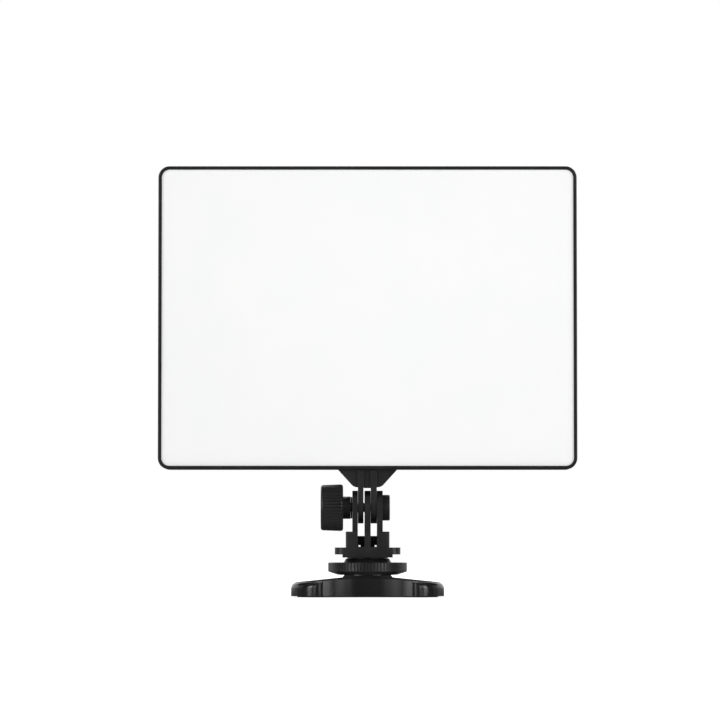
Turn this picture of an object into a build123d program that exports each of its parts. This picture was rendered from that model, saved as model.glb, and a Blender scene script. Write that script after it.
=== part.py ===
from build123d import *
import os

# An edge-lit LED panel light on a tilting finger hinge, over a waisted table stand.
# Millimetres. +Z is up and the lit face looks towards -Y, so +Y is the rear.
# The origin is on the table, under the middle of the stand.

# ---------------------------------------------------------------- driving dimensions

# Table stand: broad lobes to the left and right of a hollow waist, with pad, cover and ballast
BASE_HALF = 36.8         # over the lobes
BASE_HALF_Y = 21.8
LOBE_R = 15.7
WAIST_Y = 14.8           # front and rear walls, in the middle
WAIST_X = 21.5           # where the waist meets the flank of a lobe
WAIST_END_Y = 20.0
FLANK_X = 3.36           # run of the flank, outwards and forwards
FLANK_Y = 4.0
FLANK_ROUND = 1.0        # between waist and flank
NOSE_ROUND = 3.4         # between flank and lobe
SHELL_Z = 0.5            # rim of the shell, over the table
RIM_ROUND = 2.8
CROWN_R = 12.2           # where the cone of the shell meets the socket
CROWN_Z = 9.5
CONE_R = 40.0
CONE_Z = 6.56            # height of the cone at CONE_R
CAVITY_INSET = 2.4       # from the outline
COVER_INSET = 2.6
BALLAST_INSET = 2.9
PAD_INSET = 3.0
ROOF_Z = 5.2             # underside of the shell's roof
PAD_HOLE_R = 8.5
PAD_Z = 1.0
PAD_GROOVE_X = 22.0
PAD_GROOVE_STEP = 4.0
PAD_GROOVE_L = 18.0
PAD_GROOVE_W = 1.0
PAD_GROOVE_DEPTH = 0.45
COVER_Z = 2.2            # top of the bottom cover
BALLAST_X = 17.6         # inner edge of each ballast plate
BALLAST_Z = 5.0
BASE_SCREW_X = 27.5
BASE_SCREW_Y = 10.5
BASE_SCREW_R = 1.15
BASE_SCREW_L = 3.6
BASE_SCREW_HEAD_R = 2.3
BASE_SCREW_HEAD_H = 1.1
BASE_BOSS_R = 2.4
PILOT_R = 1.2
CROSS_L = 2.8            # cross recess of a screw head
CROSS_W = 0.6
CROSS_DEPTH = 0.5

# Accessory shoe: ISO 518 foot in its socket
SLOT_HALF = 9.4
SLOT_Z = 6.9             # floor of the slot
RAIL_Z = 9.1             # underside of the rails
SOCKET_Z = 10.6
SOCKET_HALF = 12.2
SOCKET_TOP_HALF = 11.2
SOCKET_Y = 11.1
RAIL_GAP_HALF = 6.6
SHOE_STOP_Y = -9.3
SOCKET_FLANGE_X = 16.8
SOCKET_FLANGE_Y = 11.9
SHOE_SCREW_X = 14.6
SHOE_SCREW_R = 0.85
SHOE_SCREW_HEAD_R = 1.7
SOCKET_FLANGE_T = 1.3
INSERT_R = 4.6
INSERT_BOSS_R = 6.8
FOOT_HALF = 9.25
FOOT_Y = 9.1
FOOT_Z0 = 7.0
FOOT_Z1 = 9.0
NECK_HALF = 4.8
NECK_Z = 10.5
QUARTER_INCH_R = 3.175   # 1/4-20 thread

# Knurled lock wheel on the stud
WHEEL_R = 19.0
WHEEL_Z0 = 12.3
WHEEL_Z1 = 16.6
WHEEL_FOOT_R = 14.5
WHEEL_FOOT_Z = 10.7
WHEEL_RIBS = 72
WHEEL_CUT = 0.62         # side of the square V-cut between two ribs
HUB_R0 = 11.6
HUB_R1 = 10.4
HUB_Z = 18.5
INDEX_W = 0.5            # raised index line on the hub
INDEX_PROUD = 0.25
SPIGOT_R = 9.8
SPIGOT_Z = 19.6
WHEEL_PAD_R = 13.2
WHEEL_PAD_HOLE_R = 7.5
WHEEL_PAD_Z = 11.6

# Three-finger mount
RECESS_R = 10.15         # recess over the wheel's spigot
RECESS_Z = 20.15
LOWER_HALF = 12.05
LOWER_Z = 19.05
WING_HALF = 15.8
WING_CORNER = 4.6
WING_Z0 = 20.5
WING_Z1 = 23.85
BLOCK_HALF = 10.5
BLOCK_Y = 13.2
BLOCK_Z = 31.5
WEB_Z = 29.4             # floor of the gaps between the fingers
POCKET_Z = 24.2          # bottom of the pockets in front of the web
POCKET_DEPTH = 8.0
DRAIN_X = 3.9            # small holes through the outer lower corners of the pockets
DRAIN_W = 0.9
DRAIN_H = 0.75
STUD_TOP_Z = 23.4
STUD_INSERT_Z = 23.9
STUD_INSERT_R = 4.9

# Finger hinge: the lamp tilts about X
HINGE_Z = 43.05
FINGER_R = 8.2
FINGERS = ((-7.35, -4.72), (-1.48, 1.48), (4.5, 7.3))
TINE_R = 7.6
TINES = ((-4.66, -1.98), (1.54, 4.44))
TINE_TOP_Z = 61.0
BOLT_R = 2.5             # M5
BOLT_HOLE_R = 2.56
NUT_BOSS_R = 6.2
NUT_BOSS_X = 10.75
NUT_ACROSS = 8.0
NUT_X0 = 7.6

# Thumb screw, to the left of the fingers
WASHER_X0 = -8.2
WASHER_X1 = -7.4
WASHER_R = 5.2
KNOB_X0 = -22.6
KNOB_X1 = -11.8
KNOB_R0 = 10.9
KNOB_R1 = 11.3
KNOB_EDGE = 1.2
KNOB_FLUTES = 44
KNOB_CUT = 0.85          # side of the square V-cut between two flutes
COLLAR_R = 5.4

# Lamp: bezel, optical stack and rear cover
PANEL_W = 202.0
PANEL_H = 146.4
PANEL_Z0 = 61.4
PANEL_Z = PANEL_Z0 + PANEL_H / 2
PANEL_CORNER = 5.5
PANEL_FRONT = -9.0
BEZEL_BACK = 4.0
BEZEL_WALL = 1.4
LIP = 1.7
LIP_T = 0.8
STACK_GAP = 0.05         # air between two sheets of the stack
DIFFUSER_T = 1.5
FILM_T = 0.3
GUIDE_T = 3.0
GUIDE_W = 192.0
GUIDE_H = 139.6
HEAT_PLATE_T = 1.0
STRIP_T = 0.8
STRIP_W = 190.0
CHIP = 3.0
CHIP_T = 0.8
CHIPS = 48
COVER_BACK = 7.5
COVER_TAPER = 6.5
COVER_WALL = 1.5
COVER_CORNER = 9.0
HUMP_W = 140.0
HUMP_H = 100.0
HUMP_BACK = 10.5
HUMP_CORNER = 8.0
POST_X = 86.0
POST_Z = 58.0
POST_R = 2.6
POST_BACK = 3.0
COVER_POST_R = 3.6
SCREW_R = 1.45
SCREW_CORE_R = 1.2
SCREW_HEAD_R = 2.7
SCREW_HEAD_T = 1.3
SCREW_SINK = 1.6         # depth of the counterbore over a screw's head
TAP_R = 1.25             # hole that a screw cuts its thread in

# Yoke bracket between the lamp and the fingers
YOKE_HALF = 14.25
YOKE_LOW_HALF = 6.63
YOKE_LOW_Z = 53.0
YOKE_LOW_ROUND = 4.0
YOKE_Y = 6.3
YOKE_RIB_HALF = 1.9      # short rib between the tines, a little lower than the rest
YOKE_RIB_Z = 52.6
YOKE_SCREW_X = 8.0
YOKE_SCREW_Y = 1.0
YOKE_PLATE_T = 1.2
YOKE_TAP_DEPTH = 5.2
YOKE_SCREW_L = 7.4
YOKE_HEAD_T = 1.2

# Electronics and controls on the rear
BOARD_BACK = 4.2
BOARD_T = 1.6
BOARD_W = 88.0
BOARD_H = 84.0
BOARD_X = -18.0
STANDOFF_R = 2.4
CONTROL_X = 48.0
CONTROL_W = 34.0
BUTTON_DX = 8.0
BUTTON_R = 4.2
BUTTON_CLEAR = 0.3
BUTTON_FLANGE_R = 5.4
BUTTON_PROUD = 0.9
BUTTON_TRAVEL = 0.6
KEY_Z_HIGH = 128.0       # minus and plus, left and right as seen from the rear
KEY_Z_LOW = 106.0        # power and mode
DISPLAY_W = 30.0
DISPLAY_H = 18.0
DISPLAY_Z = 160.0
JACK_X = -50.0
JACK_Z = 104.0
JACK_R = 4.2
JACK_BORE_R = 3.1
JACK_PIN_R = 1.05

# Battery plate for an L-series battery
PLATE_W = 40.4
PLATE_H = 74.0
PLATE_T = 2.5
PLATE_BACK = 16.0
PLATE_SIDE_T = 2.4
HOOK_T = 1.5
HOOK_REACH = 2.2
HOOK_H = 9.0
CATCH_Z = 163.0
CATCH_W = 10.0
CATCH_H = 8.0
CATCH_PROUD = 1.2
PLATE_SCREW_X = 11.5
PLATE_SCREW_Z = (-21.0, 14.0)
PLATE_SCREW_R = 1.0
PLATE_SCREW_HEAD_R = 2.1
PLATE_SCREW_HEAD_T = 1.3
PLATE_BOSS_R = 2.6
PLATE_BOSS_BACK = 6.4

STANDING = (Align.CENTER, Align.CENTER, Align.MIN)
HANGING = (Align.CENTER, Align.CENTER, Align.MAX)

os.makedirs("parts", exist_ok=True)


# ---------------------------------------------------------------- shared helpers

def save(builder, name):
    """Label a finished piece and write it as its own STEP file."""
    builder.part.label = name
    export_step(builder.part, f"parts/{name}.step")


def facing_front(y, x=0, z=PANEL_Z):
    """Sketch plane at depth y as seen from the front: right is +X and up is +Z."""
    return Plane(origin=(x, y, z), x_dir=(1, 0, 0), z_dir=(0, -1, 0))


def across(x):
    """Sketch plane square to the hinge axis at x: right is +Y and up is +Z."""
    return Plane.YZ.offset(x)


# ---------------------------------------------------------------- table stand

flank_x = WAIST_X + FLANK_X
flank_y = WAIST_END_Y + FLANK_Y
with BuildSketch() as stand_plan:
    RectangleRounded(2 * BASE_HALF, 2 * BASE_HALF_Y, LOBE_R)
    for side in (-1, 1):
        with BuildLine():
            ThreePointArc((-WAIST_X, side * WAIST_END_Y), (0, side * WAIST_Y), (WAIST_X, side * WAIST_END_Y))
            Polyline((WAIST_X, side * WAIST_END_Y), (flank_x, side * flank_y),
                     (-flank_x, side * flank_y), (-WAIST_X, side * WAIST_END_Y))
        make_face(mode=Mode.SUBTRACT)
    waist_ends = stand_plan.vertices().filter_by(lambda point: abs(abs(point.X) - WAIST_X) < 0.01)
    fillet(waist_ends, FLANK_ROUND)
    noses = stand_plan.vertices().filter_by(lambda point: BASE_HALF_Y - 1 < abs(point.Y))
    fillet(noses.filter_by(lambda point: WAIST_X + 0.5 < abs(point.X) < flank_x), NOSE_ROUND)


WAIST_SAG = WAIST_END_Y - WAIST_Y
WAIST_R = (WAIST_X ** 2 + WAIST_SAG ** 2) / (2 * WAIST_SAG)


def stand_outline(inset):
    """The stand's plan drawn in by an inset, with plain corners where waist and lobes meet."""
    RectangleRounded(2 * (BASE_HALF - inset), 2 * (BASE_HALF_Y - inset), LOBE_R - inset)
    with Locations((0, WAIST_Y + WAIST_R), (0, -WAIST_Y - WAIST_R)):
        Circle(WAIST_R + inset, mode=Mode.SUBTRACT)


base_screw_places = GridLocations(2 * BASE_SCREW_X, 2 * BASE_SCREW_Y, 2, 2)

with BuildPart() as base_shell:
    with BuildSketch(Plane.XY.offset(SHELL_Z)):
        RectangleRounded(2 * BASE_HALF, 2 * BASE_HALF_Y, LOBE_R)
    extrude(amount=CROWN_Z - SHELL_Z)
    # roof that falls away to all sides
    with BuildSketch(Plane.XZ):
        with BuildLine():
            Polyline((0, 0), (CONE_R, 0), (CONE_R, CONE_Z), (CROWN_R, CROWN_Z), (0, CROWN_Z), close=True)
        make_face()
    revolve(axis=Axis.Z, mode=Mode.INTERSECT)
    roof = base_shell.faces().filter_by(GeomType.CONE)[0]
    fillet(roof.outer_wire().edges(), RIM_ROUND)
    # hollow waist
    with BuildSketch(Plane.XY):
        add(stand_plan.sketch)
    extrude(amount=CROWN_Z + 1, mode=Mode.INTERSECT)
    # cavity under the roof
    with BuildSketch(Plane.XY):
        stand_outline(CAVITY_INSET)
    extrude(amount=ROOF_Z, mode=Mode.SUBTRACT)
    # window that the socket stands in
    with BuildSketch(Plane.XY):
        Rectangle(2 * SOCKET_HALF + 0.2, 2 * SOCKET_Y + 0.2)
    extrude(amount=CROWN_Z + 1, mode=Mode.SUBTRACT)
    # run-out behind the slot, so that the foot can slide out to the rear
    with BuildSketch(Plane.XY.offset(SLOT_Z)):
        with Locations((0, SOCKET_Y + BASE_HALF_Y / 2)):
            Rectangle(2 * SLOT_HALF + 0.4, BASE_HALF_Y)
    extrude(amount=CROWN_Z, mode=Mode.SUBTRACT)
    # bosses for the cover's screws
    with BuildSketch(Plane.XY.offset(COVER_Z)):
        with base_screw_places:
            Circle(BASE_BOSS_R)
    extrude(amount=ROOF_Z - COVER_Z + 0.2)
    with BuildSketch(Plane.XY.offset(COVER_Z)):
        with base_screw_places:
            Circle(PILOT_R)
    extrude(amount=ROOF_Z - COVER_Z, mode=Mode.SUBTRACT)
save(base_shell, "base_shell")

with BuildPart() as base_cover:
    with BuildSketch(Plane.XY.offset(PAD_Z)):
        stand_outline(COVER_INSET)
        Circle(INSERT_BOSS_R + 0.3, mode=Mode.SUBTRACT)
    extrude(amount=COVER_Z - PAD_Z)
    with Locations((0, 0, PAD_Z)):
        with base_screw_places:
            Cone(BASE_SCREW_HEAD_R + 0.1, PILOT_R, BASE_SCREW_HEAD_H, align=STANDING, mode=Mode.SUBTRACT)
            Cylinder(PILOT_R, COVER_Z, align=STANDING, mode=Mode.SUBTRACT)
save(base_cover, "base_cover")

with BuildPart() as foot_pad:
    with BuildSketch():
        stand_outline(PAD_INSET)
        Circle(PAD_HOLE_R, mode=Mode.SUBTRACT)
        with base_screw_places:
            Circle(BASE_SCREW_HEAD_R + 0.4, mode=Mode.SUBTRACT)
    extrude(amount=PAD_Z)
    # four closed grip grooves under each lobe
    with BuildSketch():
        for side in (-1, 1):
            with Locations((side * PAD_GROOVE_X, 0)):
                with GridLocations(1, PAD_GROOVE_STEP, 1, 4):
                    SlotOverall(PAD_GROOVE_L, PAD_GROOVE_W)
    extrude(amount=PAD_GROOVE_DEPTH, mode=Mode.SUBTRACT)
save(foot_pad, "foot_pad")

with BuildPart() as ballast_plates:
    with BuildSketch(Plane.XY.offset(COVER_Z)):
        stand_outline(BALLAST_INSET)
        Rectangle(2 * BALLAST_X, 2 * BASE_HALF_Y, mode=Mode.SUBTRACT)
        with base_screw_places:
            Circle(BASE_BOSS_R + 0.4, mode=Mode.SUBTRACT)
    extrude(amount=BALLAST_Z - COVER_Z)
save(ballast_plates, "ballast_plates")

with BuildPart() as base_screws:
    with Locations((0, 0, PAD_Z)):
        with base_screw_places:
            Cone(BASE_SCREW_HEAD_R, BASE_SCREW_R, BASE_SCREW_HEAD_H, align=STANDING)
            Cylinder(BASE_SCREW_R, BASE_SCREW_L, align=STANDING)
            Box(CROSS_L, CROSS_W, CROSS_DEPTH, align=STANDING, mode=Mode.SUBTRACT)
            Box(CROSS_W, CROSS_L, CROSS_DEPTH, align=STANDING, mode=Mode.SUBTRACT)
save(base_screws, "base_screws")

with BuildPart() as shoe_socket:
    with BuildSketch(Plane.XZ.offset(-SOCKET_Y)):
        with BuildLine():
            Polyline((-SOCKET_HALF, ROOF_Z), (SOCKET_HALF, ROOF_Z), (SOCKET_HALF, CROWN_Z),
                     (SOCKET_TOP_HALF, SOCKET_Z), (-SOCKET_TOP_HALF, SOCKET_Z),
                     (-SOCKET_HALF, CROWN_Z), close=True)
        make_face()
    extrude(amount=2 * SOCKET_Y)
    # flange under the roof, and the boss that holds the tripod insert
    with BuildSketch(Plane.XY.offset(ROOF_Z)):
        RectangleRounded(2 * SOCKET_FLANGE_X, 2 * SOCKET_FLANGE_Y, 2)
    extrude(amount=-SOCKET_FLANGE_T)
    with BuildSketch(Plane.XY.offset(PAD_Z + 0.2)):
        Circle(INSERT_BOSS_R)
    extrude(amount=ROOF_Z - PAD_Z)
    with BuildSketch(Plane.XY.offset(PAD_Z + 0.2)):
        Circle(INSERT_R)
    extrude(amount=4.6, mode=Mode.SUBTRACT)
    # slot and the gap between its rails, both closed at the front
    for half_width, z0, z1 in ((SLOT_HALF, SLOT_Z, RAIL_Z), (RAIL_GAP_HALF, RAIL_Z, SOCKET_Z)):
        with BuildSketch(Plane.XY.offset(z0)):
            with Locations((0, SHOE_STOP_Y)):
                Rectangle(2 * half_width, 3 * SOCKET_Y, align=(Align.CENTER, Align.MIN))
        extrude(amount=z1 - z0, mode=Mode.SUBTRACT)
    # screw holes in the flange
    with BuildSketch(Plane.XY):
        with Locations((SHOE_SCREW_X, 0), (-SHOE_SCREW_X, 0)):
            Circle(SHOE_SCREW_R + 0.05)
    extrude(amount=ROOF_Z, mode=Mode.SUBTRACT)
save(shoe_socket, "shoe_socket")

with BuildPart() as shoe_screws:
    for side in (-1, 1):
        with Locations((side * SHOE_SCREW_X, 0, ROOF_Z)):
            Cylinder(SHOE_SCREW_R, SOCKET_FLANGE_T, align=HANGING)
        with Locations((side * SHOE_SCREW_X, 0, ROOF_Z - SOCKET_FLANGE_T)):
            Cylinder(SHOE_SCREW_HEAD_R, 1.0, align=HANGING)
save(shoe_screws, "shoe_screws")

with BuildPart() as tripod_insert:
    with BuildSketch(Plane.XY.offset(PAD_Z + 0.2)):
        Circle(INSERT_R)
        Circle(QUARTER_INCH_R, mode=Mode.SUBTRACT)
    extrude(amount=4.5)
    chamfer(tripod_insert.faces().sort_by(Axis.Z)[0].inner_wires()[0].edges(), 0.3)
save(tripod_insert, "tripod_insert")


# ---------------------------------------------------------------- shoe foot and stud

with BuildPart() as shoe_foot:
    with BuildSketch(Plane.XY.offset(FOOT_Z0)):
        RectangleRounded(2 * FOOT_HALF, 2 * FOOT_Y, 1.0)
    extrude(amount=FOOT_Z1 - FOOT_Z0)
    with BuildSketch(Plane.XY.offset(FOOT_Z1)):
        RectangleRounded(2 * NECK_HALF, 2 * NECK_HALF, 1.2)
    extrude(amount=NECK_Z - FOOT_Z1)
    with BuildSketch(Plane.XY.offset(FOOT_Z0 + 0.8)):
        Circle(QUARTER_INCH_R)
    extrude(amount=NECK_Z, mode=Mode.SUBTRACT)
save(shoe_foot, "shoe_foot")

with BuildPart() as lock_stud:
    with BuildSketch(Plane.XY.offset(FOOT_Z0 + 0.8)):
        Circle(QUARTER_INCH_R)
    extrude(amount=STUD_TOP_Z - FOOT_Z0 - 0.8)
    chamfer(lock_stud.edges().sort_by(Axis.Z)[-1], 0.6)
save(lock_stud, "lock_stud")


# ---------------------------------------------------------------- lock wheel

with BuildPart() as wheel_pad:
    with BuildSketch(Plane.XY.offset(WHEEL_FOOT_Z - 0.05)):
        Circle(WHEEL_PAD_R)
        Circle(WHEEL_PAD_HOLE_R, mode=Mode.SUBTRACT)
    extrude(amount=WHEEL_PAD_Z - WHEEL_FOOT_Z + 0.05)
save(wheel_pad, "wheel_pad")

with BuildPart() as lock_wheel:
    bore_r = QUARTER_INCH_R + 0.08
    with BuildSketch(Plane.XZ):
        with BuildLine():
            Polyline((bore_r, WHEEL_PAD_Z + 0.1), (WHEEL_PAD_R + 0.3, WHEEL_PAD_Z + 0.1),
                     (WHEEL_PAD_R + 0.3, WHEEL_FOOT_Z), (WHEEL_FOOT_R, WHEEL_FOOT_Z),
                     (WHEEL_R - 3.1, 11.2), (WHEEL_R - 1.2, 11.8), (WHEEL_R, WHEEL_Z0),
                     (WHEEL_R, WHEEL_Z1), (HUB_R0, WHEEL_Z1), (HUB_R1, HUB_Z),
                     (SPIGOT_R, HUB_Z), (SPIGOT_R, SPIGOT_Z), (bore_r, SPIGOT_Z), close=True)
        make_face()
    revolve(axis=Axis.Z)
    rim = lock_wheel.edges().filter_by(GeomType.CIRCLE).filter_by(lambda edge: edge.radius > WHEEL_R - 0.1)
    fillet(rim, 0.4)
    with BuildSketch(Plane.XY.offset(WHEEL_Z0 - 1)):
        with PolarLocations(WHEEL_R, WHEEL_RIBS):
            Rectangle(WHEEL_CUT, WHEEL_CUT, rotation=45)
    extrude(amount=WHEEL_Z1 - WHEEL_Z0 + 2, mode=Mode.SUBTRACT)
    # index line up the front of the hub
    with BuildSketch(across(-INDEX_W / 2)):
        with BuildLine():
            Polyline((-HUB_R0 - INDEX_PROUD, WHEEL_Z1 - 0.3), (-HUB_R1 - INDEX_PROUD, HUB_Z),
                     (-SPIGOT_R, HUB_Z), (-SPIGOT_R, WHEEL_Z1 - 0.3), close=True)
        make_face()
    extrude(amount=INDEX_W)
save(lock_wheel, "lock_wheel")


# ---------------------------------------------------------------- three-finger mount

def finger_side(radius, far_z):
    """Side view of a hinge finger: round about the hinge axis, straight on to far_z."""
    with Locations((0, HINGE_Z)):
        Circle(radius)
    with Locations((0, (HINGE_Z + far_z) / 2)):
        Rectangle(2 * radius, abs(HINGE_Z - far_z))


with BuildPart() as prong_mount:
    # foot of the block
    with BuildSketch(Plane.XY.offset(LOWER_Z)):
        RectangleRounded(2 * LOWER_HALF, 2 * BLOCK_Y, 1.0)
    extrude(amount=WING_Z1 - LOWER_Z)
    # wings with well rounded corners
    with BuildSketch(Plane.XY.offset(WING_Z0)):
        RectangleRounded(2 * WING_HALF, 2 * BLOCK_Y, WING_CORNER)
    extrude(amount=WING_Z1 - WING_Z0)
    with BuildSketch(Plane.XY.offset(WING_Z1 - 0.5)):
        RectangleRounded(2 * BLOCK_HALF, 2 * BLOCK_Y, 0.8)
    extrude(amount=BLOCK_Z - WING_Z1 + 0.5)
    chamfer(prong_mount.faces().sort_by(Axis.Z)[-1].edges(), 0.25)
    # three fingers and the boss that holds the nut
    for x0, x1 in FINGERS:
        with BuildSketch(across(x0)):
            finger_side(FINGER_R, BLOCK_Z - 1)
        extrude(amount=x1 - x0)
    with BuildSketch(across(FINGERS[-1][1])):
        with Locations((0, HINGE_Z)):
            Circle(NUT_BOSS_R)
    extrude(amount=NUT_BOSS_X - FINGERS[-1][1])
    fillet(prong_mount.edges().sort_by(Axis.X).filter_by(lambda edge: edge.center().Z > BLOCK_Z)[-1], 0.5)
    # gaps for the tines, down to the web, with pockets in front of and behind the web
    for (_, left), (right, _) in zip(FINGERS, FINGERS[1:]):
        middle = (left + right) / 2
        with BuildSketch(Plane.XY.offset(WEB_Z)):
            with Locations((middle, 0)):
                Rectangle(right - left, 4 * BLOCK_Y)
        extrude(amount=BLOCK_Z, mode=Mode.SUBTRACT)
        with BuildSketch(Plane.XY.offset(POCKET_Z)):
            with Locations((middle, BLOCK_Y), (middle, -BLOCK_Y)):
                Rectangle(right - left, 2 * POCKET_DEPTH)
        extrude(amount=WEB_Z - POCKET_Z + 1, mode=Mode.SUBTRACT)
    with BuildSketch(Plane.XZ.offset(-BLOCK_Y)):
        with Locations((-DRAIN_X, POCKET_Z + DRAIN_H / 2), (DRAIN_X, POCKET_Z + DRAIN_H / 2)):
            Rectangle(DRAIN_W, DRAIN_H)
    extrude(amount=2 * BLOCK_Y, mode=Mode.SUBTRACT)
    # bolt hole, nut pocket, recess over the wheel's spigot, and the insert's hole
    with BuildSketch(across(FINGERS[0][0] - 1)):
        with Locations((0, HINGE_Z)):
            Circle(BOLT_HOLE_R)
    extrude(amount=2 * NUT_BOSS_X, mode=Mode.SUBTRACT)
    with BuildSketch(across(NUT_X0)):
        with Locations((0, HINGE_Z)):
            RegularPolygon(NUT_ACROSS / 2 + 0.05, 6, major_radius=False)
    extrude(amount=NUT_BOSS_X, mode=Mode.SUBTRACT)
    with BuildSketch(Plane.XY.offset(LOWER_Z)):
        Circle(RECESS_R)
    extrude(amount=RECESS_Z - LOWER_Z, mode=Mode.SUBTRACT)
    with BuildSketch(Plane.XY.offset(RECESS_Z)):
        Circle(STUD_INSERT_R)
    extrude(amount=STUD_INSERT_Z - RECESS_Z, mode=Mode.SUBTRACT)
save(prong_mount, "prong_mount")

with BuildPart() as thread_insert:
    with BuildSketch(Plane.XY.offset(RECESS_Z)):
        Circle(STUD_INSERT_R)
        Circle(QUARTER_INCH_R + 0.05, mode=Mode.SUBTRACT)
    extrude(amount=STUD_INSERT_Z - RECESS_Z)
save(thread_insert, "thread_insert")

with BuildPart() as captive_nut:
    with BuildSketch(across(NUT_X0)):
        with Locations((0, HINGE_Z)):
            RegularPolygon(NUT_ACROSS / 2, 6, major_radius=False)
            Circle(BOLT_R + 0.05, mode=Mode.SUBTRACT)
    extrude(amount=NUT_BOSS_X - 0.3 - NUT_X0)
save(captive_nut, "captive_nut")


# ---------------------------------------------------------------- thumb screw

with BuildPart() as thumb_washer:
    with BuildSketch(across(WASHER_X0)):
        with Locations((0, HINGE_Z)):
            Circle(WASHER_R)
            Circle(BOLT_R + 0.3, mode=Mode.SUBTRACT)
    extrude(amount=WASHER_X1 - WASHER_X0)
save(thumb_washer, "thumb_washer")

with BuildPart() as thumb_knob:
    with BuildSketch(Plane.XZ):
        with BuildLine():
            Polyline((KNOB_X0, HINGE_Z), (KNOB_X0, HINGE_Z + KNOB_R0), (KNOB_X1, HINGE_Z + KNOB_R1),
                     (KNOB_X1, HINGE_Z + COLLAR_R), (WASHER_X0 - 0.05, HINGE_Z + COLLAR_R),
                     (WASHER_X0 - 0.05, HINGE_Z), close=True)
        make_face()
    revolve(axis=Axis((0, 0, HINGE_Z), (1, 0, 0)))
    big = thumb_knob.edges().filter_by(GeomType.CIRCLE).filter_by(lambda edge: edge.radius > KNOB_R0 - 0.1)
    fillet(big, KNOB_EDGE)
    with BuildSketch(across(KNOB_X0 - 1)):
        with Locations((0, HINGE_Z)):
            with PolarLocations(KNOB_R1, KNOB_FLUTES):
                Rectangle(KNOB_CUT, KNOB_CUT, rotation=45)
    extrude(amount=KNOB_X1 - KNOB_X0 + 1.6, mode=Mode.SUBTRACT)
    # shallow dish in the outer face, and the hole that holds the bolt
    with BuildSketch(across(KNOB_X0)):
        with Locations((0, HINGE_Z)):
            Circle(KNOB_R0 - 3.4)
    extrude(amount=0.6, mode=Mode.SUBTRACT)
    with BuildSketch(across(WASHER_X0)):
        with Locations((0, HINGE_Z)):
            Circle(BOLT_R)
    extrude(amount=-9.0, mode=Mode.SUBTRACT)
save(thumb_knob, "thumb_knob")

with BuildPart() as thumb_bolt:
    with BuildSketch(across(WASHER_X0 - 9.0)):
        with Locations((0, HINGE_Z)):
            Circle(BOLT_R)
    extrude(amount=NUT_BOSS_X - 0.1 - WASHER_X0 + 9.0)
    chamfer(thumb_bolt.edges().sort_by(Axis.X)[-1], 0.5)
save(thumb_bolt, "thumb_bolt")


# ---------------------------------------------------------------- lamp: bezel and optical stack

INNER_W = PANEL_W - 2 * BEZEL_WALL
INNER_H = PANEL_H - 2 * BEZEL_WALL
INNER_CORNER = PANEL_CORNER - BEZEL_WALL
STACK_CLEAR = 0.2

with BuildPart() as front_bezel:
    with BuildSketch(facing_front(BEZEL_BACK)):
        RectangleRounded(PANEL_W, PANEL_H, PANEL_CORNER)
    extrude(amount=BEZEL_BACK - PANEL_FRONT)
    fillet(front_bezel.faces().sort_by(Axis.Y)[0].edges(), 0.5)
    with BuildSketch(facing_front(BEZEL_BACK)):
        RectangleRounded(INNER_W, INNER_H, INNER_CORNER)
    extrude(amount=BEZEL_BACK - PANEL_FRONT - LIP_T, mode=Mode.SUBTRACT)
    with BuildSketch(facing_front(PANEL_FRONT + LIP_T + 1)):
        RectangleRounded(PANEL_W - 2 * LIP, PANEL_H - 2 * LIP, PANEL_CORNER - LIP)
    extrude(amount=LIP_T + 2, mode=Mode.SUBTRACT)
    # holes in the bottom wall for the yoke's screws
    with BuildSketch(Plane.XY.offset(PANEL_Z0 - 1)):
        with Locations((YOKE_SCREW_X, YOKE_SCREW_Y), (-YOKE_SCREW_X, YOKE_SCREW_Y)):
            Circle(SCREW_R + 0.1)
    extrude(amount=BEZEL_WALL + 2, mode=Mode.SUBTRACT)
save(front_bezel, "front_bezel")

diffuser_back = PANEL_FRONT + LIP_T + DIFFUSER_T
with BuildPart() as diffuser:
    with BuildSketch(facing_front(diffuser_back)):
        RectangleRounded(INNER_W - STACK_CLEAR, INNER_H - STACK_CLEAR, INNER_CORNER - 0.1)
    extrude(amount=DIFFUSER_T)
save(diffuser, "diffuser")

film_back = diffuser_back + STACK_GAP + FILM_T
with BuildPart() as brightness_film:
    with BuildSketch(facing_front(film_back)):
        RectangleRounded(INNER_W - 3, INNER_H - 3, INNER_CORNER - 1)
    extrude(amount=FILM_T)
save(brightness_film, "brightness_film")

guide_back = film_back + STACK_GAP + GUIDE_T
with BuildPart() as light_guide:
    with BuildSketch(facing_front(guide_back)):
        RectangleRounded(GUIDE_W, GUIDE_H, 1)
    extrude(amount=GUIDE_T)
save(light_guide, "light_guide")

reflector_back = guide_back + STACK_GAP + FILM_T
with BuildPart() as reflector_sheet:
    with BuildSketch(facing_front(reflector_back)):
        RectangleRounded(GUIDE_W, GUIDE_H, 1)
    extrude(amount=FILM_T)
save(reflector_sheet, "reflector_sheet")

chip_z = GUIDE_H / 2 + STACK_GAP
strip_z = chip_z + CHIP_T
for side, place in ((1, "top"), (-1, "bottom")):
    with BuildPart() as led_chips:
        with BuildSketch(facing_front(guide_back)):
            with Locations((0, side * (chip_z + CHIP_T / 2))):
                with GridLocations(STRIP_W / CHIPS, 1, CHIPS, 1):
                    Rectangle(CHIP, CHIP_T)
        extrude(amount=CHIP)
    save(led_chips, f"led_chips_{place}")

    with BuildPart() as led_strip:
        with BuildSketch(facing_front(guide_back + 0.2)):
            with Locations((0, side * (strip_z + STRIP_T / 2))):
                Rectangle(STRIP_W, STRIP_T)
        extrude(amount=CHIP + 0.4)
    save(led_strip, f"led_strip_{place}")

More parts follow.
